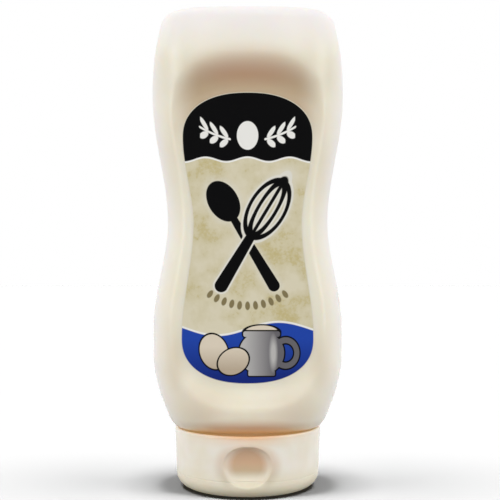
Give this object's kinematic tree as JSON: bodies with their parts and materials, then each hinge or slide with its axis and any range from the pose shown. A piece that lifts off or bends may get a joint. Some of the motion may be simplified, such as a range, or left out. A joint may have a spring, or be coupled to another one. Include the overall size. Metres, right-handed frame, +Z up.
{
  "type": "squeeze bottle of mayonnaise",
  "caption": "Oval waisted squeeze bottle that stands on its round flip-top cap, with hourglass labels front and back.",
  "frame": {"origin": "middle of the cap's underside, on the surface the bottle stands on", "axes": "+Z up through the bottle, +X across its width, -Y towards its front label"},
  "size_m": [0.078, 0.0594, 0.1924],
  "materials": {
    "bottle_plastic": "cream semi-translucent polyethylene, softly glossy",
    "cap_plastic": "cream moulded polypropylene, satin gloss",
    "label_print": "printed film label, satin"
  },
  "bodies": {
    "root": {"bottle": "bottle_plastic", "cap": "cap_plastic", "front_label": "label_print", "back_label": "label_print"}
  },
  "joints": []
}
